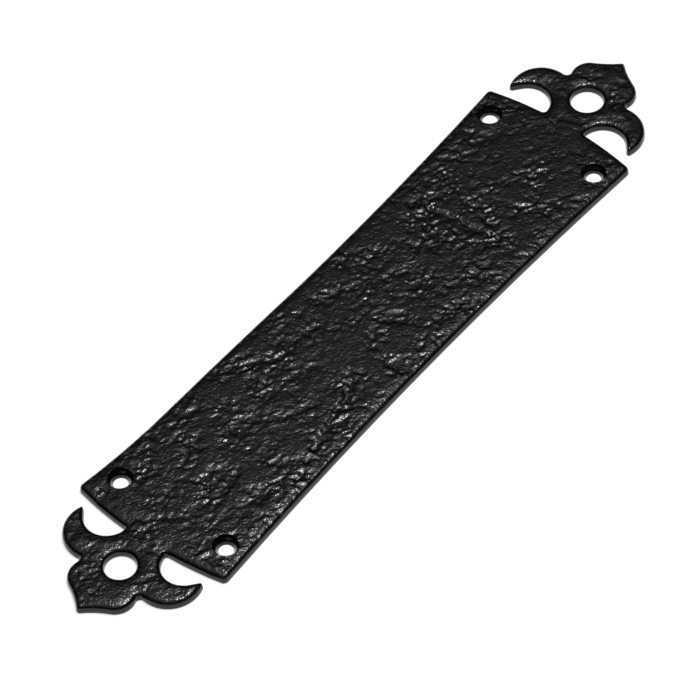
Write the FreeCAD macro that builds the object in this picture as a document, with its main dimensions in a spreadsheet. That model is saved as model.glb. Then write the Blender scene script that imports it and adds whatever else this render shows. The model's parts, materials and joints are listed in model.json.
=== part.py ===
import FreeCAD, Part
import Sketcher
import math
import os

# Door finger plate: one flat iron casting, fixed to a door with four countersunk screws.
# The plate lies on its back. The origin is on the back face, in the middle of the four screw
# holes. X runs across the plate, Y along it (up the door) and Z out of its face. Millimetres.
#
# The blade is the long plate that the hand pushes. A finial is the pierced ornament at each
# end of it: a leaf in the middle, with a crescent petal on each side.

# Driving sizes. "Across" is along X, "along" is along Y, and a "lift" is how much further
# along a point lies than the one before it.
SIZES = {
    "thickness": 3.8,
    # blade: hollow long sides, flared corners, and ends that slope out to the neck
    "waist_half_width": 29.15,
    "corner_swell": 3.25,
    "upper_left_tuck": 0.45,
    "upper_left_radius": 1650.0,
    "lower_left_swell": 1.15,
    "lower_left_radius": 3000.0,
    "lower_left_flare": 1.05,
    "flare_length": 42.0,
    "blade_half_length": 116.3,
    "lower_end_extra": 0.8,
    "corner_drop": 3.2,
    "end_edge_radius": 140.0,
    # finial: round gap between blade and petal, the petal, the nick behind it, the leaf
    "gap_across": 17.2,
    "gap_lift": 0.6,
    "gap_radius": 8.3,
    "petal_tip_reach": 1.3,
    "petal_tip_lift": 1.5,
    "petal_bow": 8.0,
    "finial_hole_lift": 14.06,
    "finial_hole_radius": 5.5,
    "upper_hole_extra": 0.4,
    "nick_across": 11.1,
    "nick_lift": 4.35,
    "leaf_swell": 2.25,
    "leaf_shoulder_lift": 9.6,
    "leaf_tip_lift": 22.7,
    "leaf_hollow_radius": 34.0,
    # screw holes, inset from the corners of the blade
    "screw_inset_across": 8.88,
    "screw_inset_along": 10.1,
    "screw_hole_radius": 2.75,
    "countersink_radius": 4.5,
    "countersink_angle": 60.0,
    "countersink_rim_round": 0.3,
    # rounds of the outline, seen from the front
    "corner_round": 2.1,
    "notch_round": 1.0,
    "petal_tip_round": 0.9,
    "nick_round": 1.5,
    "leaf_tip_round": 1.3,
    # rounds along the edges of the casting
    "front_edge_round": 1.7,
    "back_edge_round": 0.3,
}

# Sizes that follow from the driving ones, as formulas of the sheet.
FORMULAS = {
    "corner_half_width": "waist_half_width + corner_swell",
    "upper_corner_along": "blade_half_length - corner_drop",
    "lower_end_along": "blade_half_length + lower_end_extra",
    "lower_corner_along": "lower_end_along - corner_drop",
    "neck_half_width": "gap_across - gap_radius",
    "gap_along": "blade_half_length + gap_lift",
    "petal_tip_across": "gap_across + gap_radius + petal_tip_reach",
    "petal_tip_along": "gap_along + petal_tip_lift",
    "finial_hole_along": "blade_half_length + finial_hole_lift",
    "nick_along": "finial_hole_along + nick_lift",
    "petal_chord": "sqrt((petal_tip_across - nick_across) ^ 2 + (nick_along - petal_tip_along) ^ 2)",
    "petal_radius": "petal_chord ^ 2 / (8 * petal_bow) + petal_bow / 2",
    "shoulder_along": "finial_hole_along + leaf_shoulder_lift",
    "leaf_radius": "(leaf_swell ^ 2 + (leaf_shoulder_lift - nick_lift) ^ 2) / (2 * leaf_swell)",
    "leaf_across": "nick_across + leaf_swell - leaf_radius",
    "leaf_tip_along": "finial_hole_along + leaf_tip_lift",
    "screw_across": "corner_half_width - screw_inset_across",
    "screw_along": "upper_corner_along - screw_inset_along",
    "front_round": "min(front_edge_round; 0.6 * thickness)",
    "back_round": "min(back_edge_round; 0.2 * thickness)",
}

# Ends and centre of a line or an arc, the axes and the origin, as a sketch numbers them.
START, END, CENTRE = range(1, 4)
ACROSS_AXIS, ALONG_AXIS = range(-1, -3, -1)
ORIGIN = (-1, 1)

# How closely a face or an edge has to lie at its height to be picked, in millimetres.
FLAT = 1e-4

doc = FreeCAD.newDocument("finger_plate")
sheet = doc.addObject("Spreadsheet::Sheet", "sizes")
contents = {name: str(value) for name, value in SIZES.items()}
contents.update({name: "=" + formula for name, formula in FORMULAS.items()})
for row, (name, content) in enumerate(contents.items(), start=1):
    sheet.set(f"A{row}", name)
    sheet.set(f"B{row}", content)
    sheet.setAlias(f"B{row}", name)
doc.recompute()

body = doc.addObject("PartDesign::Body", "finger_plate_body")
body.Label = "finger_plate"


def value(formula):
    """Number that a formula such as "-sizes.gap_across" gives."""
    return float(body.evalExpression(formula))


def point(across, along):
    """Point of a sketch from two formulas."""
    return FreeCAD.Vector(value(across), value(along), 0)


def origin_plane(role):
    """Plane of the body's own origin."""
    return next(plane for plane in body.Origin.OriginFeatures if plane.Role == role)


def new_sketch(name, height=""):
    """Sketch that faces the front, on the back face or at a height given as a formula."""
    sketch = body.newObject("Sketcher::SketchObject", name)
    sketch.AttachmentSupport = [(origin_plane("XY_Plane"), "")]
    sketch.MapMode = "FlatFace"
    if height:
        sketch.setExpression(".AttachmentOffset.Base.z", height)
    return sketch


def add_line(sketch, start, end):
    return sketch.addGeometry(Part.LineSegment(start, end), False)


def add_arc(sketch, centre, start, end):
    """Arc about a centre, turning left from start to end."""
    first = math.atan2(start.y - centre.y, start.x - centre.x)
    last = math.atan2(end.y - centre.y, end.x - centre.x)
    if last < first:
        last += 2 * math.pi
    circle = Part.Circle(centre, FreeCAD.Vector(0, 0, 1), (start - centre).Length)
    return sketch.addGeometry(Part.ArcOfCircle(circle, first, last), False)


def arc_centre(start, end, radius):
    """Centre of the arc of a known radius that turns left from start to end."""
    chord = end - start
    height = math.sqrt(radius ** 2 - (chord.Length / 2) ** 2)
    left = FreeCAD.Vector(-chord.y, chord.x, 0).normalize()
    return (start + end) / 2 + left * height


def drive(sketch, kind, references, formula):
    """Dimension of a sketch that a formula sets."""
    index = sketch.addConstraint(Sketcher.Constraint(kind, *references, value(formula)))
    sketch.setExpression(f"Constraints[{index}]", formula)


def pin(sketch, geometry, end, across, along):
    """Fix a point of a sketch at two formulas."""
    drive(sketch, "DistanceX", (*ORIGIN, geometry, end), across)
    drive(sketch, "DistanceY", (*ORIGIN, geometry, end), along)


def relate(sketch, kind, *references):
    sketch.addConstraint(Sketcher.Constraint(kind, *references))


def blade_outline():
    """Closed outline of the blade, with sharp corners."""
    corner, waist, neck = "sizes.corner_half_width", "sizes.waist_half_width", "sizes.neck_half_width"
    spots = {
        "upper_right": (corner, "sizes.upper_corner_along"),
        "upper_left": (f"-{corner} + sizes.upper_left_tuck", "sizes.upper_corner_along"),
        "waist_right": (waist, "0"),
        "waist_left": (f"-{waist}", "0"),
        "flare": (f"-{waist} - sizes.lower_left_swell", "-sizes.lower_corner_along + sizes.flare_length"),
        "lower_left": (f"-{corner} - sizes.lower_left_flare", "-sizes.lower_corner_along"),
        "lower_right": (corner, "-sizes.lower_corner_along"),
        "upper_neck_right": (neck, "sizes.blade_half_length"),
        "upper_neck_left": (f"-{neck}", "sizes.blade_half_length"),
        "lower_neck_left": (f"-{neck}", "-sizes.lower_end_along"),
        "lower_neck_right": (neck, "-sizes.lower_end_along"),
    }
    at = {name: point(*formulas) for name, formulas in spots.items()}
    sketch = new_sketch("blade_outline")

    # The right side is one arc through the waist. The left side is less even: hollow above
    # the waist, slightly swollen below it, and flared out smoothly to the lower corner.
    waist_right = at["waist_right"]
    right_centre = Part.Circle(at["upper_right"], waist_right, at["lower_right"]).Center
    upper_radius = value("sizes.upper_left_radius")
    lower_radius = value("sizes.lower_left_radius")
    hollow_centre = arc_centre(at["waist_left"], at["upper_left"], upper_radius)
    swell_centre = arc_centre(at["waist_left"], at["flare"], lower_radius)
    inwards = (swell_centre - at["flare"]).normalize()
    reach = at["lower_left"] - at["flare"]
    flare_centre = at["flare"] + inwards * (reach.dot(reach) / (2 * reach.dot(inwards)))
    sides = {
        "right": add_arc(sketch, right_centre, at["upper_right"], at["lower_right"]),
        "hollow": add_arc(sketch, hollow_centre, at["waist_left"], at["upper_left"]),
        "swell": add_arc(sketch, swell_centre, at["waist_left"], at["flare"]),
        "flare": add_arc(sketch, flare_centre, at["lower_left"], at["flare"]),
    }
    mark = sketch.addGeometry(Part.Point(waist_right), True)
    relate(sketch, "PointOnObject", mark, START, ACROSS_AXIS)
    drive(sketch, "DistanceX", (*ORIGIN, mark, START), waist)
    relate(sketch, "PointOnObject", mark, START, sides["right"])
    drive(sketch, "Radius", (sides["hollow"],), "sizes.upper_left_radius")
    drive(sketch, "Radius", (sides["swell"],), "sizes.lower_left_radius")
    for side, end, name in (
        ("right", START, "upper_right"),
        ("right", END, "lower_right"),
        ("hollow", END, "upper_left"),
        ("swell", END, "flare"),
        ("flare", START, "lower_left"),
    ):
        pin(sketch, sides[side], end, *spots[name])
    relate(sketch, "PointOnObject", sides["hollow"], START, ACROSS_AXIS)
    drive(sketch, "DistanceX", (*ORIGIN, sides["hollow"], START), f"-{waist}")
    relate(sketch, "Coincident", sides["hollow"], START, sides["swell"], START)
    relate(sketch, "Tangent", sides["swell"], END, sides["flare"], END)

    # ends: a slightly bowed edge on each side of a straight one that the finial covers
    for name, first, last in (
        ("upper", ("right", START), ("hollow", END)),
        ("lower", ("flare", START), ("right", END)),
    ):
        side, other_side = ("right", "left") if name == "upper" else ("left", "right")
        stops = (
            f"{name}_{side}",
            f"{name}_neck_{side}",
            f"{name}_neck_{other_side}",
            f"{name}_{other_side}",
        )
        corners = [at[stop] for stop in stops]
        radius = value("sizes.end_edge_radius")
        before = add_arc(sketch, arc_centre(corners[0], corners[1], radius), corners[0], corners[1])
        middle = add_line(sketch, corners[1], corners[2])
        after = add_arc(sketch, arc_centre(corners[2], corners[3], radius), corners[2], corners[3])
        for edge in (before, after):
            drive(sketch, "Radius", (edge,), "sizes.end_edge_radius")
        relate(sketch, "Coincident", sides[first[0]], first[1], before, START)
        relate(sketch, "Coincident", before, END, middle, START)
        relate(sketch, "Coincident", middle, END, after, START)
        relate(sketch, "Coincident", after, END, sides[last[0]], last[1])
        pin(sketch, middle, START, *spots[stops[1]])
        pin(sketch, middle, END, *spots[stops[2]])
    return sketch, at


def finial_outline():
    """Closed outline of the right half of the upper finial, with sharp tips and nick."""
    root = point("0", "sizes.upper_corner_along")
    neck = point("sizes.neck_half_width", "sizes.upper_corner_along")
    gap_start = point("sizes.neck_half_width", "sizes.gap_along")
    gap_centre = point("sizes.gap_across", "sizes.gap_along")
    petal_tip = point("sizes.petal_tip_across", "sizes.petal_tip_along")
    nick = point("sizes.nick_across", "sizes.nick_along")
    shoulder_centre = point("sizes.leaf_across", "sizes.shoulder_along")
    leaf_tip = point("0", "sizes.leaf_tip_along")
    gap_radius = value("sizes.gap_radius")
    leaf_radius = value("sizes.leaf_radius")
    hollow_radius = value("sizes.leaf_hollow_radius")

    # the straight inside of the petal leaves the round gap where a line from the tip touches it
    to_tip = petal_tip - gap_centre
    turn = math.atan2(to_tip.y, to_tip.x) + math.acos(gap_radius / to_tip.Length)
    gap_end = gap_centre + FreeCAD.Vector(math.cos(turn), math.sin(turn), 0) * gap_radius
    petal_centre = arc_centre(petal_tip, nick, value("sizes.petal_radius"))

    # the hollow of the leaf touches the shoulder from outside and ends at the tip
    to_leaf_tip = leaf_tip - shoulder_centre
    reach = to_leaf_tip.Length
    near = ((leaf_radius + hollow_radius) ** 2 - hollow_radius ** 2 + reach ** 2) / (2 * reach)
    side = math.sqrt((leaf_radius + hollow_radius) ** 2 - near ** 2)
    ahead = to_leaf_tip.normalize()
    hollow_centre = shoulder_centre + ahead * near + FreeCAD.Vector(ahead.y, -ahead.x, 0) * side
    outwards = (hollow_centre - shoulder_centre).normalize()
    shoulder_end = shoulder_centre + outwards * leaf_radius

    sketch = new_sketch("finial_outline")
    base = add_line(sketch, root, neck)
    stem = add_line(sketch, neck, gap_start)
    gap = add_arc(sketch, gap_centre, gap_end, gap_start)
    inside = add_line(sketch, gap_end, petal_tip)
    petal = add_arc(sketch, petal_centre, petal_tip, nick)
    shoulder = add_arc(sketch, shoulder_centre, nick, shoulder_end)
    hollow = add_arc(sketch, hollow_centre, leaf_tip, shoulder_end)
    middle = add_line(sketch, leaf_tip, root)

    relate(sketch, "Horizontal", base)
    relate(sketch, "Vertical", stem)
    relate(sketch, "PointOnObject", base, START, ALONG_AXIS)
    drive(sketch, "DistanceY", (*ORIGIN, base, START), "sizes.upper_corner_along")
    relate(sketch, "Coincident", base, END, stem, START)
    relate(sketch, "Tangent", stem, END, gap, END)
    pin(sketch, gap, CENTRE, "sizes.gap_across", "sizes.gap_along")
    drive(sketch, "Radius", (gap,), "sizes.gap_radius")
    relate(sketch, "Tangent", gap, START, inside, START)
    pin(sketch, inside, END, "sizes.petal_tip_across", "sizes.petal_tip_along")
    relate(sketch, "Coincident", inside, END, petal, START)
    drive(sketch, "Radius", (petal,), "sizes.petal_radius")
    pin(sketch, petal, END, "sizes.nick_across", "sizes.nick_along")
    relate(sketch, "Coincident", petal, END, shoulder, START)
    pin(sketch, shoulder, CENTRE, "sizes.leaf_across", "sizes.shoulder_along")
    relate(sketch, "Tangent", shoulder, END, hollow, END)
    drive(sketch, "Radius", (hollow,), "sizes.leaf_hollow_radius")
    relate(sketch, "PointOnObject", hollow, START, ALONG_AXIS)
    drive(sketch, "DistanceY", (*ORIGIN, hollow, START), "sizes.leaf_tip_along")
    relate(sketch, "Coincident", hollow, START, middle, START)
    relate(sketch, "Coincident", middle, END, base, START)
    return sketch, {"petal_tip": petal_tip, "nick": nick, "leaf_tip": leaf_tip}


def circles(name, rings, height=""):
    """Sketch of circles, each given as three formulas: centre across, centre along, radius."""
    sketch = new_sketch(name, height)
    for across, along, radius in rings:
        centre = point(across, along)
        ring = sketch.addGeometry(Part.Circle(centre, FreeCAD.Vector(0, 0, 1), value(radius)), False)
        drive(sketch, "Radius", (ring,), radius)
        drive(sketch, "DistanceY", (*ORIGIN, ring, CENTRE), along)
        if across == "0":
            relate(sketch, "PointOnObject", ring, CENTRE, ALONG_AXIS)
        else:
            drive(sketch, "DistanceX", (*ORIGIN, ring, CENTRE), across)
    return sketch


def pad(name, sketch):
    """Plate as thick as the casting, up from the back face."""
    feature = body.newObject("PartDesign::Pad", name)
    feature.Profile = sketch
    feature.setExpression("Length", "sizes.thickness")
    doc.recompute()
    return feature


def mirror_to_four(name, original):
    """Repeat one half finial on the left, and both halves at the other end."""
    feature = body.newObject("PartDesign::MultiTransform", name)
    feature.Originals = [original]
    mirrors = []
    for mirror_name, role in (("left_and_right", "YZ_Plane"), ("upper_and_lower", "XZ_Plane")):
        mirror = doc.addObject("PartDesign::Mirrored", mirror_name)
        body.addObject(mirror)
        mirror.MirrorPlane = (origin_plane(role), [""])
        mirrors.append(mirror)
    feature.Transformations = mirrors
    body.Tip = feature
    doc.recompute()
    return feature


def round_uprights(name, base, spots, radius):
    """Round the upright edges of the outline that are nearest to the spots."""
    uprights = {}
    for number, edge in enumerate(base.Shape.Edges, start=1):
        ends = [vertex.Point for vertex in edge.Vertexes]
        if len(ends) == 2 and abs(ends[1].z - ends[0].z) > edge.Length / 2:
            uprights[f"Edge{number}"] = FreeCAD.Vector(ends[0].x, ends[0].y, 0)
    chosen = {min(uprights, key=lambda edge: (uprights[edge] - spot).Length) for spot in spots}
    return fillet(name, base, sorted(chosen), radius)


def round_face(name, base, height, radius):
    """Round every edge of the flat face at a height."""
    flats = [
        f"Face{number}"
        for number, face in enumerate(base.Shape.Faces, start=1)
        if face.BoundBox.ZLength < FLAT and abs(face.BoundBox.ZMin - height) < FLAT
    ]
    return fillet(name, base, flats, radius)


def fillet(name, base, names, radius):
    feature = body.newObject("PartDesign::Fillet", name)
    feature.Base = (base, names)
    feature.setExpression("Radius", radius)
    doc.recompute()
    return feature


def on_both_ends_and_sides(spot):
    """A spot of the upper right quarter, and its three mirror images."""
    return [FreeCAD.Vector(x * spot.x, y * spot.y, 0) for x in (1, -1) for y in (1, -1)]


# The casting: the blade and four half finials.
blade_sketch, blade_spots = blade_outline()
blade = pad("blade", blade_sketch)
finial_sketch, finial_spots = finial_outline()
half_finial = pad("half_finial", finial_sketch)
casting = mirror_to_four("finials", half_finial)

# Rounds of the outline.
corners = [blade_spots[name] for name in ("upper_right", "upper_left", "lower_left", "lower_right")]
notches = [spot for name, spot in blade_spots.items() if "neck" in name]
casting = round_uprights("corner_rounds", casting, corners, "sizes.corner_round")
casting = round_uprights("notch_rounds", casting, notches, "sizes.notch_round")
for name in ("petal_tip", "nick", "leaf_tip"):
    spots = on_both_ends_and_sides(finial_spots[name])
    casting = round_uprights(f"{name}_rounds", casting, spots, f"sizes.{name}_round")

# The hole in the middle of each finial.
finial_hole_rings = [
    ("0", "sizes.finial_hole_along", "sizes.finial_hole_radius + sizes.upper_hole_extra"),
    ("0", "-sizes.finial_hole_along", "sizes.finial_hole_radius"),
]
finial_holes = body.newObject("PartDesign::Pocket", "finial_holes")
finial_holes.Profile = circles("finial_hole_circles", finial_hole_rings)
finial_holes.Type = "ThroughAll"
finial_holes.Reversed = True
doc.recompute()

# Soft edges of the casting, front and back.
casting = round_face("front_edge", finial_holes, value("sizes.thickness"), "sizes.front_round")
casting = round_face("back_edge", casting, 0.0, "sizes.back_round")

# Four countersunk screw holes, from the front face.
screw_rings = [
    (f"{across}sizes.screw_across", f"{along}sizes.screw_along", "sizes.screw_hole_radius")
    for across in ("", "-")
    for along in ("", "-")
]
screw_circles = circles("screw_circles", screw_rings, "sizes.thickness")
doc.recompute()
screw_holes = body.newObject("PartDesign::Hole", "screw_holes")
screw_holes.Profile = screw_circles
screw_holes.ThreadType = "None"
screw_holes.DepthType = "ThroughAll"
screw_holes.setExpression("Diameter", "2 * sizes.screw_hole_radius")
screw_holes.HoleCutType = "Countersink"
screw_holes.HoleCutCustomValues = True
screw_holes.setExpression("HoleCutDiameter", "2 * sizes.countersink_radius")
screw_holes.setExpression("HoleCutCountersinkAngle", "sizes.countersink_angle")
doc.recompute()
rims = [
    f"Edge{number}"
    for number, edge in enumerate(screw_holes.Shape.Edges, start=1)
    if abs(edge.BoundBox.ZMin - value("sizes.thickness")) < FLAT
    and abs(edge.BoundBox.XLength - 2 * value("sizes.countersink_radius")) < FLAT
]
finished = fillet("countersink_rims", screw_holes, rims, "sizes.countersink_rim_round")

# Nothing is written unless every object is sound and every cut took something away.
faults = [item.Name for item in doc.Objects if "Invalid" in item.State or "Error" in item.State]
faults += [item.Name for item in (blade_sketch, finial_sketch, screw_circles) if not item.FullyConstrained]
shape = body.Shape
if faults or shape.isNull() or not shape.isValid() or len(shape.Solids) != 1:
    raise RuntimeError(f"finger_plate is not sound: {faults}")
if not half_finial.Shape.Volume > blade.Shape.Volume > 0:
    raise RuntimeError("the finial adds nothing")
if not casting.Shape.Volume > screw_holes.Shape.Volume > finished.Shape.Volume:
    raise RuntimeError("the screw holes cut nothing")

body.Placement = FreeCAD.Placement()
os.makedirs("parts", exist_ok=True)
shape.exportStep(f"parts/{body.Label}.step")
box = shape.optimalBoundingBox(True, False)
print(f"finger_plate: {box.XLength:.2f} x {box.YLength:.2f} x {box.ZLength:.2f} mm")
print(f"volume {shape.Volume:.1f} cubic mm, faces {len(shape.Faces)}, x {box.XMin:.2f} to {box.XMax:.2f}")
print(f"screw holes {2 * value('sizes.screw_across'):.2f} x {2 * value('sizes.screw_along'):.2f} mm apart")
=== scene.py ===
# %% [markdown]
# ## A cast-iron finger plate
# A finger plate is screwed to a door at hand height, so that fingers don't wear the paint. This one
# is a single flat iron casting, painted black: a long blade with a pierced ornament, the finial, at
# each end. The solid model already has its outline, its holes and its rounded edges. This lesson
# adds what casting in sand and painting by brush leave behind: a lumpy face, and a satin coat on it.

# %% Load the solid model
import json
import math

import bmesh
import bpy
from mathutils import Matrix, Vector, bvhtree, noise


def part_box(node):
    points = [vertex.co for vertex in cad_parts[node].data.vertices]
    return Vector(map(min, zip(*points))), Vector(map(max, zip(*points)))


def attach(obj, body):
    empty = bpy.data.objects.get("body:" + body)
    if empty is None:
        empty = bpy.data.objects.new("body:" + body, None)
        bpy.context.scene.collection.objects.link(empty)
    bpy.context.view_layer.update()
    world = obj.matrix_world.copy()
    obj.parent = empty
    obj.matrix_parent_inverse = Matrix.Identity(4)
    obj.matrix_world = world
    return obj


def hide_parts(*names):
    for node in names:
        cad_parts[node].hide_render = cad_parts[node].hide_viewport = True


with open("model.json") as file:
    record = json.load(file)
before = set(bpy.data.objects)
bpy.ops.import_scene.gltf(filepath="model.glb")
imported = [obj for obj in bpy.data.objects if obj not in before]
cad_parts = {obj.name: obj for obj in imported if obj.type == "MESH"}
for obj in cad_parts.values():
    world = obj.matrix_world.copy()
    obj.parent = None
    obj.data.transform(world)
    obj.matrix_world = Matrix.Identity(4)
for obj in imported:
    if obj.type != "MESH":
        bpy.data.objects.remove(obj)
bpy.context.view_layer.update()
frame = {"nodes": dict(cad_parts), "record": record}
MM = 0.001
low, high = (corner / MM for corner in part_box("finger_plate"))
THICKNESS = high.z - low.z
print("plate in mm:", [round(side, 2) for side in high - low])

# %% [markdown]
# ## A face fine enough to carry lumps
# The front of the solid has no points inside that could be raised or lowered, and subdividing it
# would make long thin slivers. So a new face is drawn from the outline of the flat back, which is
# the front's own outline without the soft edge, and from a circle round each screw hole. Cutting it
# with two sets of parallel planes, like a tray of toffee, gives small even squares. Halving every
# piece again and again is much quicker than sweeping each plane over the whole face. The work is
# done in millimetres, and the finished mesh is scaled to metres at the end.

# %% Find the outline on the back
SCREW_RADIUS, COUNTERSINK_RADIUS = 2.75, 4.5
SCREW_ZONE = 1.3 * COUNTERSINK_RADIUS
SAME_SPOT = 0.001
spacing = frame["record"]["mounts"][0]["dims"]
SCREW_SPOT = Vector((spacing["spacing_x_mm"] / 2, spacing["spacing_y_mm"] / 2))


def by_screw(spot):
    """Whether a point belongs to a screw hole."""
    return (Vector((abs(spot.x), abs(spot.y))) - SCREW_SPOT).length < SCREW_ZONE


def back_outline():
    """Edges round the flat back of the casting and its two finial holes, as pairs of points."""
    mesh = bmesh.new()
    mesh.from_mesh(frame["nodes"]["finger_plate"].data)
    bmesh.ops.scale(mesh, vec=(1 / MM, 1 / MM, 1 / MM), verts=mesh.verts)
    bmesh.ops.remove_doubles(mesh, verts=mesh.verts, dist=SAME_SPOT)
    level = low.z + SAME_SPOT
    others = [face for face in mesh.faces if any(vert.co.z > level for vert in face.verts)]
    bmesh.ops.delete(mesh, geom=others, context="FACES")
    border = [[vert.co.copy() for vert in edge.verts] for edge in mesh.edges if edge.is_boundary]
    mesh.free()
    return [pair for pair in border if not by_screw(pair[0])]


outline = back_outline()
print("pieces of outline:", len(outline))

# %% Draw the face
RIM_ROUND = 0.3
CONE_TILT = math.radians(60)
RIM_RADIUS = COUNTERSINK_RADIUS + RIM_ROUND * math.tan(CONE_TILT / 2)
RIM_SIDES = 44
CROWDED = 0.07
STRAIGHT = math.radians(0.1)


def front_face(outline):
    """Flat face at the height of the front, with round openings for the screws."""
    mesh = bmesh.new()
    for pair in outline:
        mesh.edges.new([mesh.verts.new((spot.x, spot.y, high.z)) for spot in pair])
    bmesh.ops.remove_doubles(mesh, verts=mesh.verts, dist=CROWDED)
    for x, y in ((1, 1), (1, -1), (-1, 1), (-1, -1)):
        spot = Matrix.Translation((x * SCREW_SPOT.x, y * SCREW_SPOT.y, high.z))
        bmesh.ops.create_circle(mesh, radius=RIM_RADIUS, segments=RIM_SIDES, matrix=spot)
    bmesh.ops.triangle_fill(mesh, use_beauty=False, edges=mesh.edges[:], normal=(0.0, 0.0, 1.0))
    bmesh.ops.dissolve_limit(mesh, angle_limit=STRAIGHT, verts=mesh.verts, edges=mesh.edges)
    return mesh


casting = front_face(outline)
print("points on the front face:", len(casting.verts))

# %% Slice it into small squares
PITCH = 0.48


def slice_evenly(mesh, faces, axis, first, last):
    """Cut the faces with every plane of the pitch between two plane numbers."""
    if last - first < 2 or not faces:
        return
    middle = (first + last) // 2
    across = Vector([0.0, 0.0, 0.0])
    across[axis] = 1.0
    edges = dict.fromkeys(edge for face in faces for edge in face.edges)
    verts = dict.fromkeys(vert for edge in edges for vert in edge.verts)
    done = bmesh.ops.bisect_plane(
        mesh,
        geom=[*verts, *edges, *faces],
        dist=SAME_SPOT / 2,
        plane_co=across * middle * PITCH,
        plane_no=across,
    )
    below, above = [], []
    for piece in done["geom"]:
        if isinstance(piece, bmesh.types.BMFace):
            side = below if piece.calc_center_median()[axis] < middle * PITCH else above
            side.append(piece)
    slice_evenly(mesh, below, axis, first, middle)
    slice_evenly(mesh, above, axis, middle, last)


for axis in (1, 0):
    first, last = math.floor(low[axis] / PITCH), math.ceil(high[axis] / PITCH)
    slice_evenly(casting, casting.faces[:], axis, first, last)
print("squares and edge pieces:", len(casting.faces))

# %% [markdown]
# ## Edges and sides
# Sand castings have soft edges, so every point of the face sinks the nearer it lies to the outline,
# first by a slight slump and then along a quarter of a circle. The rim is carried on down the side,
# row by row, and leans back a little all the way, as a pattern must that is to be drawn out of the
# sand. Round a screw hole the rows run down a cone instead, which lets a screw head sit flush. Every
# row keeps the points of the row before it, so the lumps of the face can run out over the edge
# without a seam. Points that the slicing left almost on top of each other are joined first, or
# their rows would cross in a hollow. Extruding leaves its new edges and faces in an order that
# changes from run to run, so they are put in order before the back is closed.

# %% Work out which way the rim faces
MITRE_LIMIT = 0.5
rim_verts = [vert for vert in casting.verts if vert.is_boundary]
bmesh.ops.remove_doubles(casting, verts=rim_verts, dist=CROWDED)
outward = casting.verts.layers.float_vector.new("outward")
for vert in casting.verts:
    normals = [
        (loop.link_loop_next.vert.co - loop.vert.co).cross(Vector((0, 0, 1))).normalized()
        for edge in vert.link_edges
        if edge.is_boundary
        for loop in edge.link_loops
    ]
    if normals:
        mean = sum(normals, Vector()).normalized()
        vert[outward] = mean / max(mean.dot(normals[0]), MITRE_LIMIT)
rim = [edge for edge in casting.edges if edge.is_boundary]
screw_rim = [edge for edge in rim if by_screw(edge.verts[0].co)]
outer_rim = [edge for edge in rim if not by_screw(edge.verts[0].co)]
print("pieces of rim:", len(rim))

# %% Sink the face towards its outline
FRONT_ROUND, BACK_ROUND = 1.7, 0.3
SLUMP_DEPTH, SLUMP_WIDTH = 0.62, 5.5


def fence(edges):
    """Upright strips along a rim, to measure distances from."""
    spots, strips = [], []
    for edge in edges:
        first, last = (vert.co for vert in edge.verts)
        strips.append(range(len(spots), len(spots) + 4))
        spots += [first, last, last - Vector((0, 0, THICKNESS)), first - Vector((0, 0, THICKNESS))]
    return bvhtree.BVHTree.FromPolygons(spots, strips)


def edge_drop(inside):
    """How far the soft edge lies below the front, at a distance inside the outline."""
    short = max(FRONT_ROUND - inside, 0.0)
    slump = SLUMP_DEPTH * max(1.0 - inside / SLUMP_WIDTH, 0.0) ** 2
    return FRONT_ROUND - math.sqrt(FRONT_ROUND ** 2 - short ** 2) + slump


edge_distance = casting.verts.layers.float.new("edge_distance")
rim_fence = fence(outer_rim)
for vert in casting.verts:
    vert[edge_distance] = BACK_ROUND + rim_fence.find_nearest(vert.co)[3]
    vert.co.z = high.z - edge_drop(vert[edge_distance])
print("the rim sank by", round(edge_drop(BACK_ROUND), 2), "mm")

# %% Work out the rows of the side and of a screw hole
SIDE_ROWS, BACK_ROWS, RIM_ROWS, CONE_ROWS = 4, 2, 2, 2


def rounding(radius, start, end, steps):
    """Steps of (outward, downward) along a rounded edge, between two tilts of its surface."""
    tilts = [math.radians(start + (end - start) * step / steps) for step in range(steps + 1)]
    path = [(math.sin(tilt) * radius, (1 - math.cos(tilt)) * radius) for tilt in tilts]
    return [(after[0] - before[0], after[1] - before[1]) for before, after in zip(path, path[1:])]


rim_tilt = math.degrees(math.asin(1 - BACK_ROUND / FRONT_ROUND))
arc = rounding(FRONT_ROUND, rim_tilt, 90, SIDE_ROWS)
wall = high.z - edge_drop(BACK_ROUND) - BACK_ROUND
stretch = wall / sum(down for out, down in arc)
side_moves = [(out, down * stretch) for out, down in arc]
side_moves += rounding(BACK_ROUND, 90, 180, BACK_ROWS)
rim_moves = rounding(RIM_ROUND, 0, math.degrees(CONE_TILT), RIM_ROWS)
cone_width = RIM_RADIUS - sum(out for out, down in rim_moves) - SCREW_RADIUS
cone_depth = cone_width * math.tan(CONE_TILT)
cone_moves = [(cone_width / CONE_ROWS, cone_depth / CONE_ROWS)] * CONE_ROWS
shaft_depth = THICKNESS - cone_depth - sum(down for out, down in rim_moves)
screw_moves = rim_moves + cone_moves + [(0.0, shaft_depth)]
print("rows on a side:", len(side_moves), "and in a screw hole:", len(screw_moves))

# %% Carry the rim down the side
def add_rows(mesh, edges, moves):
    """Extrude a rim once for every move, and return the last rim."""
    for out, down in moves:
        made = bmesh.ops.extrude_edge_only(mesh, edges=edges)["geom"]
        for vert in (piece for piece in made if isinstance(piece, bmesh.types.BMVert)):
            vert[edge_distance] = 0.0
            vert.co += vert[outward] * out - Vector((0.0, 0.0, down))
        edges = [p for p in made if isinstance(p, bmesh.types.BMEdge) and p.is_boundary]
    return edges


back_rim = add_rows(casting, outer_rim, side_moves) + add_rows(casting, screw_rim, screw_moves)
for edge in back_rim:
    for vert in edge.verts:
        vert.co.z = low.z
print("points with the rows:", len(casting.verts))

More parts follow.
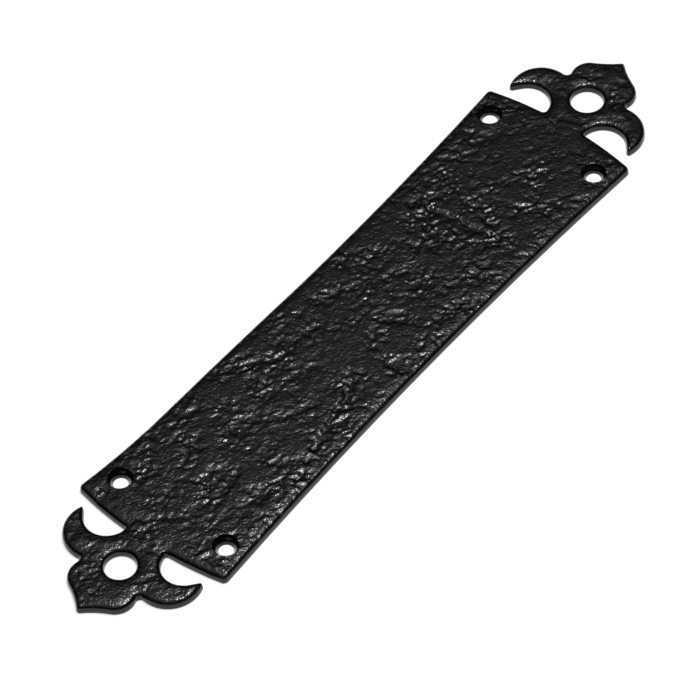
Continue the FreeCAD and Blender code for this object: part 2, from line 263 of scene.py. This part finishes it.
# %% Number the pieces
def rank(piece):
    """Number of an edge or a face, from the points that it joins."""
    points = sorted(vert.index for vert in piece.verts)
    return (points[0] * len(casting.verts) + points[1]) * len(casting.verts) + points[-1]


casting.verts.index_update()
casting.edges.sort(key=rank)
casting.faces.sort(key=rank)
back_rim = [edge for edge in casting.edges if edge.is_boundary]
print("pieces of rim on the back:", len(back_rim))

# %% Close the back
bmesh.ops.triangle_fill(casting, use_beauty=True, edges=back_rim, normal=(0.0, 0.0, -1.0))
bmesh.ops.recalc_face_normals(casting, faces=casting.faces)
print("open edges left:", sum(len(edge.link_faces) != 2 for edge in casting.edges))

# %% [markdown]
# ## The folds of the metal
# Real height is used for the folds and lumps of the skin, not a painted or bumped surface, since
# height also shows at the edge and in the shadows. In a few places the metal folded as it set,
# which leaves a step: a short wall on one side, a long ramp on the other. A fold is laid out as a
# line across the face, and the depth at a place depends on how far the place is from the line.

# %% Depth of the folds
FOLD_DEPTH, FOLD_WALL, FOLD_RAMP = 0.6, 1.5, 3.0
FOLDS = [
    ((25.0, -66.0), (20.4, -49.7)),
    ((20.4, -49.7), (14.1, -23.4)),
    ((-13.0, 55.0), (11.0, 58.0)),
]


def smooth_step(value, first, last):
    """Rise gently from 0 to 1 between two values."""
    share = min(max((value - first) / (last - first), 0.0), 1.0)
    return share * share * (3.0 - 2.0 * share)


def fold_depth(flat):
    """Depth of the folds: a short steep wall on one side of each line, a long ramp on the other."""
    deepest = 0.0
    for start, end in FOLDS:
        start, along = Vector(start), Vector(end) - Vector(start)
        share = min(max((flat - start).dot(along) / along.length_squared, 0.0), 1.0)
        away = flat - start - along * share
        side = along.cross(away) / along.length
        past = math.sqrt(max(away.length_squared - side * side, 0.0))
        across = 1.0 - smooth_step(side, 0.0, FOLD_WALL) if side > 0.0 else math.exp(side / FOLD_RAMP)
        deepest = max(deepest, across * (1.0 - smooth_step(past, 0.0, FOLD_RAMP)))
    return FOLD_DEPTH * deepest


print("lengths of the folds in mm:", [round(math.dist(*fold), 1) for fold in FOLDS])

# %% [markdown]
# ## The lumps of the sand
# Molten iron takes the print of the sand and wrinkles as it cools. Broad hollows that a finger can
# feel come first, then lumps of two or three millimetres, then wrinkles half that size. Lumps and
# wrinkles stand up from a calmer ground, so only the rises of their noise are kept. They come in
# patches, rough in one place and smoother in the next, so a slow noise turns them up and down. The
# upper half of the blade is rougher than the rest, and both ends are calmer. Where a lump lies
# across a fold it fills it, and a slow drift keeps lumps and folds from running straight. The
# drift is the one noise that is seeded by the clock, so it is given a seed of its own.

# %% Height of the skin at a place on the face
SEED = 2
SKIN_MEAN = 0.3
BROAD, LUMP, WRINKLE, PATCH = 7.0, 2.4, 1.2, 12.0
BROAD_HEIGHT, LUMP_HEIGHT, WRINKLE_HEIGHT = 0.5, 0.56, 0.48
RISE_FROM, RISE_CREST, RISE_GAIN = -0.12, 1.3, 1.55
GRAIN_TURN, GRAIN_STRETCH = math.radians(20), 1.25
DRIFT, DRIFT_SPREAD = 0.5, 2.0
FOLD_DRIFT, FOLD_FILL = 1.5, 0.6
ROUGHNESS = 1.15
ROUGHNESS_STEPS = [(20.0, 70.0, 0.3), (85.0, 110.0, -0.7), (-90.0, -120.0, -0.4)]


def noise_at(spot, width, start):
    """Smooth noise with waves of about a width, counted from a starting point."""
    return noise.noise(spot / width + Vector(start))


def rises(value):
    """Keep only the rises of a noise, with sharper crests."""
    return RISE_GAIN * max(value - RISE_FROM, 0.0) ** RISE_CREST


def skin_height(place):
    """How far the skin lies above or below its mean, in millimetres."""
    flat = Vector((place.x, place.y))
    grain = flat.copy()
    grain.rotate(Matrix.Rotation(GRAIN_TURN, 2))
    grain = Vector((grain.x, grain.y / GRAIN_STRETCH, 0.0))
    drift = noise.noise_vector(grain / LUMP / DRIFT_SPREAD) * DRIFT * LUMP
    bent = grain + Vector((drift.x, drift.y, 0.0))
    broad = noise_at(grain, BROAD, (3.0, 1.0, 8.5))
    lumps = rises(noise_at(bent, LUMP, (31.0, 7.0, 0.5)))
    wrinkles = rises(noise_at(bent, WRINKLE, (3.0, 57.0, 1.5)))
    patch = noise_at(grain, PATCH, (11.0, 4.0, 2.5))
    steps = [step * smooth_step(flat.y, first, last) for first, last, step in ROUGHNESS_STEPS]
    rough = ROUGHNESS + patch + sum(steps)
    height = BROAD_HEIGHT * broad + rough * (LUMP_HEIGHT * lumps + WRINKLE_HEIGHT * wrinkles)
    open_fold = max(1.0 - FOLD_FILL * lumps, 0.0)
    fold = open_fold * fold_depth(flat + drift.xy * FOLD_DRIFT)
    return SKIN_MEAN * math.tanh(height / SKIN_MEAN) - fold


noise.seed_set(SEED)
print("skin at the middle of the blade:", round(skin_height(Vector()), 2), "mm")

# %% Raise and lower the skin
SKIN_FROM, SKIN_TOP = 1.6, 0.1
CALM_EDGE, CALM_SHARE = 3.5, 0.2
for vert in casting.verts:
    share = smooth_step(vert.co.z, SKIN_FROM, high.z)
    if share > 0.0:
        share *= CALM_SHARE + (1.0 - CALM_SHARE) * smooth_step(vert[edge_distance], 0.0, CALM_EDGE)
        vert.co.z += share * (skin_height(vert.co) - SKIN_MEAN + SKIN_TOP)
heights = sorted(vert.co.z for vert in casting.verts if vert.co.z > SKIN_FROM)
print("skin from", round(heights[len(heights) // 50], 2), "to", round(heights[-1], 2), "mm")

# %% [markdown]
# ## From mesh to object
# The casting is shaded smooth, so its small squares don't show. Where a screw hole meets the back
# the surface turns so sharply that it is kept as an edge.

# %% Make it an object
SHARP_FROM = math.radians(50)


def finished_object(mesh, name):
    """Turn a mesh in millimetres into an object, smooth but for its sharp edges."""
    bmesh.ops.triangulate(mesh, faces=[face for face in mesh.faces if len(face.verts) > 4])
    for face in mesh.faces:
        face.smooth = True
    for edge in mesh.edges:
        edge.smooth = len(edge.link_faces) == 2 and edge.calc_face_angle(0.0) < SHARP_FROM
    bmesh.ops.scale(mesh, vec=(MM, MM, MM), verts=mesh.verts)
    data = bpy.data.meshes.new(name)
    mesh.to_mesh(data)
    mesh.free()
    thing = bpy.data.objects.new(name, data)
    bpy.context.scene.collection.objects.link(thing)
    return thing


plate = finished_object(casting, "cast_plate")
plate.data.calc_loop_triangles()
print("triangles:", len(plate.data.loop_triangles))

# %% [markdown]
# ## Black paint
# The coat is nearly black and satin. Thin paint follows the iron but fills its finest grain, so a
# small bump of its own stands for the skin of the paint, and its gloss varies a little from place
# to place. Paint draws smooth over an edge, so the bump fades where the surface turns from the
# front or back to the side. The colour and the strength of the reflection are constants.

# %% Helpers that add shader nodes
def add_node(tree, kind, values):
    """Add a node, set some of its inputs to fixed values, and return it."""
    node = tree.nodes.new(kind)
    for name, value in values.items():
        node.inputs[name].default_value = value
    return node


def add_math(tree, operation, signal, other=0.0):
    """Work on a signal, alone or with a second signal or number, and return the result."""
    node = tree.nodes.new("ShaderNodeMath")
    node.operation = operation
    tree.links.new(signal, node.inputs[0])
    if isinstance(other, bpy.types.NodeSocket):
        tree.links.new(other, node.inputs[1])
    else:
        node.inputs[1].default_value = other
    return node.outputs[0]


print("ready to mix materials")

# %% Mix the paint
PAINT_COLOUR = (0.0015, 0.0015, 0.0017, 1.0)
PAINT_SHINE = 0.42
GRAIN_WIDTH, GRAIN_DEPTH = 0.8 * MM, 0.23 * MM
CLOUD_WIDTH = 14.0 * MM
UPRIGHT = {"From Min": 0.5, "From Max": 0.95, "To Min": 0.15, "To Max": 1.0}
SATIN = {"To Min": 0.12, "To Max": 0.22}


def paint():
    """Satin black paint over rough iron."""
    material = bpy.data.materials.new("black_paint")
    material.use_nodes = True
    tree = material.node_tree
    links = tree.links
    shader = tree.nodes["Principled BSDF"]
    shader.inputs["Base Color"].default_value = PAINT_COLOUR
    shader.inputs["Specular IOR Level"].default_value = PAINT_SHINE
    place = tree.nodes.new("ShaderNodeTexCoord")
    stretched = {"Rotation": (0.0, 0.0, -GRAIN_TURN), "Scale": (1.0, GRAIN_STRETCH, 1.0)}
    turned = add_node(tree, "ShaderNodeMapping", stretched)
    turned.vector_type = "TEXTURE"
    links.new(place.outputs["Object"], turned.inputs["Vector"])
    fine = {"Scale": 1.0 / GRAIN_WIDTH, "Detail": 1.5, "Roughness": 0.5}
    grain = add_node(tree, "ShaderNodeTexNoise", fine)
    links.new(turned.outputs["Vector"], grain.inputs["Vector"])
    facing = add_node(tree, "ShaderNodeSeparateXYZ", {})
    links.new(place.outputs["Normal"], facing.inputs["Vector"])
    strength = add_node(tree, "ShaderNodeMapRange", UPRIGHT)
    links.new(add_math(tree, "ABSOLUTE", facing.outputs["Z"]), strength.inputs["Value"])
    bump = add_node(tree, "ShaderNodeBump", {"Distance": GRAIN_DEPTH})
    links.new(strength.outputs["Result"], bump.inputs["Strength"])
    links.new(grain.outputs["Fac"], bump.inputs["Height"])
    links.new(bump.outputs["Normal"], shader.inputs["Normal"])
    cloud = add_node(tree, "ShaderNodeTexNoise", {"Scale": 1.0 / CLOUD_WIDTH, "Detail": 4.0})
    links.new(place.outputs["Object"], cloud.inputs["Vector"])
    gloss = add_node(tree, "ShaderNodeMapRange", SATIN)
    links.new(cloud.outputs["Fac"], gloss.inputs["Value"])
    links.new(gloss.outputs["Result"], shader.inputs["Roughness"])
    return material


plate.data.materials.append(paint())
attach(plate, "root")
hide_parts("finger_plate")
print("nodes in the paint:", len(plate.data.materials[0].node_tree.nodes))

# %% [markdown]
# ## Paper floor
# The plate lies on white paper. The paper itself is pale grey, so that it throws little light back
# on the plate. It gives off light of its own to the camera and to anything that mirrors or shows
# it, which takes it from pale grey to white and keeps the shadow. From below it isn't there at all,
# so the back of the plate can be looked at.

# %% Lay the paper
PAPER_GREY, PAPER_GLOW = 0.3, 0.68
PAPER_REACH, PAPER_GAP = 12000.0, 0.1


def floor_material():
    """White paper seen from above, and nothing at all from below."""
    material = bpy.data.materials.new("white_paper")
    material.use_nodes = True
    tree = material.node_tree
    links = tree.links
    tree.nodes.clear()
    grey = (PAPER_GREY, PAPER_GREY, PAPER_GREY, 1.0)
    paper = add_node(tree, "ShaderNodeBsdfDiffuse", {"Color": grey})
    ray = tree.nodes.new("ShaderNodeLightPath")
    seen = ray.outputs["Is Camera Ray"]
    for kind in ("Is Glossy Ray", "Is Transmission Ray"):
        seen = add_math(tree, "MAXIMUM", seen, ray.outputs[kind])
    glow = tree.nodes.new("ShaderNodeEmission")
    links.new(add_math(tree, "MULTIPLY", seen, PAPER_GLOW), glow.inputs["Strength"])
    both = tree.nodes.new("ShaderNodeAddShader")
    links.new(paper.outputs[0], both.inputs[0])
    links.new(glow.outputs[0], both.inputs[1])
    side = tree.nodes.new("ShaderNodeNewGeometry")
    clear = tree.nodes.new("ShaderNodeBsdfTransparent")
    choice = tree.nodes.new("ShaderNodeMixShader")
    links.new(side.outputs["Backfacing"], choice.inputs[0])
    links.new(both.outputs[0], choice.inputs[1])
    links.new(clear.outputs[0], choice.inputs[2])
    output = tree.nodes.new("ShaderNodeOutputMaterial")
    links.new(choice.outputs[0], output.inputs["Surface"])
    return material


below_plate = Matrix.Translation((0, 0, -PAPER_GAP))
floor_mesh = bmesh.new()
bmesh.ops.create_grid(
    floor_mesh, x_segments=1, y_segments=1, size=PAPER_REACH, matrix=below_plate
)
floor = finished_object(floor_mesh, "paper")
floor.data.materials.append(floor_material())
print("paper in metres:", [round(side, 1) for side in floor.dimensions])

# %% [markdown]
# ## Lamps and room
# A small bright lamp hangs over the plate, a little to the right: it puts the dashes of light on
# every lump that leans towards it. A wide dim lamp round it softens them and gives the pale line
# along the right edge. The rest of the room is dim, so that the black stays black. It is black at
# eye level and grows brighter only towards the ceiling, which gives the flat parts their faint
# sheen without lighting the sides.

# %% Hang the lamps
def lamp(name, place, width, height, power):
    """Rectangular soft lamp that faces the middle of the plate."""
    light = bpy.data.lights.new(name, "AREA")
    light.shape = "RECTANGLE"
    light.size = width
    light.size_y = height
    light.energy = power
    thing = bpy.data.objects.new(name, light)
    thing.location = place
    thing.rotation_euler = (-Vector(place)).to_track_quat("-Z", "Y").to_euler()
    thing.visible_camera = False
    bpy.context.scene.collection.objects.link(thing)
    return thing


lamps = [
    lamp("core", (0.15, 0.04, 0.78), 0.17, 0.18, 4.5),
    lamp("halo", (0.06, 0.15, 0.80), 0.52, 0.50, 2.1),
]
print("lamps in watts:", [round(thing.data.energy, 1) for thing in lamps])

# %% Dim the room
SHARPNESS, CEILING = 4.5, 1.05


def studio():
    """Dim room, black at eye level and bright only near the ceiling."""
    world = bpy.data.worlds.new("studio")
    world.use_nodes = True
    tree = world.node_tree
    direction = tree.nodes.new("ShaderNodeTexCoord")
    upwards = tree.nodes.new("ShaderNodeSeparateXYZ")
    tree.links.new(direction.outputs["Generated"], upwards.inputs["Vector"])
    signal = upwards.outputs["Z"]
    for operation, amount in (("MAXIMUM", 0.0), ("POWER", SHARPNESS), ("MULTIPLY", CEILING)):
        signal = add_math(tree, operation, signal, amount)
    background = tree.nodes["Background"]
    background.inputs["Color"].default_value = (1.0, 1.0, 1.0, 1.0)
    tree.links.new(signal, background.inputs["Strength"])
    return world


bpy.context.scene.world = studio()
bpy.context.scene.view_settings.view_transform = "Standard"
print("brightness straight overhead:", CEILING)

# %% [markdown]
# ## Camera
# The camera stands where the photographer stood. Its place was found from the outline: the angle
# round the plate, the height above it and the roll that together lay the solid's edges over the
# photographed ones.

# %% Place the camera
AZIMUTH, ELEVATION, ROLL = (math.radians(angle) for angle in (42.325, 51.301, -4.397))
DISTANCE, ASIDE, UPWARDS = 1550.621 * MM, -4.579 * MM, -7.616 * MM
FOCAL_PIXELS, PICTURE_PIXELS, SENSOR = 4425.672, 700, 36.0


def photo_camera():
    """Camera at the photograph's angle, distance and lens."""
    level = math.cos(ELEVATION)
    back = Vector((math.sin(AZIMUTH) * level, -math.cos(AZIMUTH) * level, math.sin(ELEVATION)))
    right = Vector((math.cos(AZIMUTH), math.sin(AZIMUTH), 0.0))
    up = back.cross(right)
    turned_right = right * math.cos(ROLL) + up * math.sin(ROLL)
    turned_up = up * math.cos(ROLL) - right * math.sin(ROLL)
    data = bpy.data.cameras.new("photo_camera")
    data.sensor_width = SENSOR
    data.lens = FOCAL_PIXELS * SENSOR / PICTURE_PIXELS
    data.clip_start = 0.05
    data.clip_end = 50.0
    camera = bpy.data.objects.new("photo_camera", data)
    camera.matrix_world = Matrix.Translation(
        turned_right * ASIDE + turned_up * UPWARDS + back * DISTANCE
    ) @ Matrix((turned_right, turned_up, back)).transposed().to_4x4()
    bpy.context.scene.collection.objects.link(camera)
    bpy.context.scene.camera = camera
    return camera


camera = photo_camera()
print("lens in mm:", round(camera.data.lens, 1))
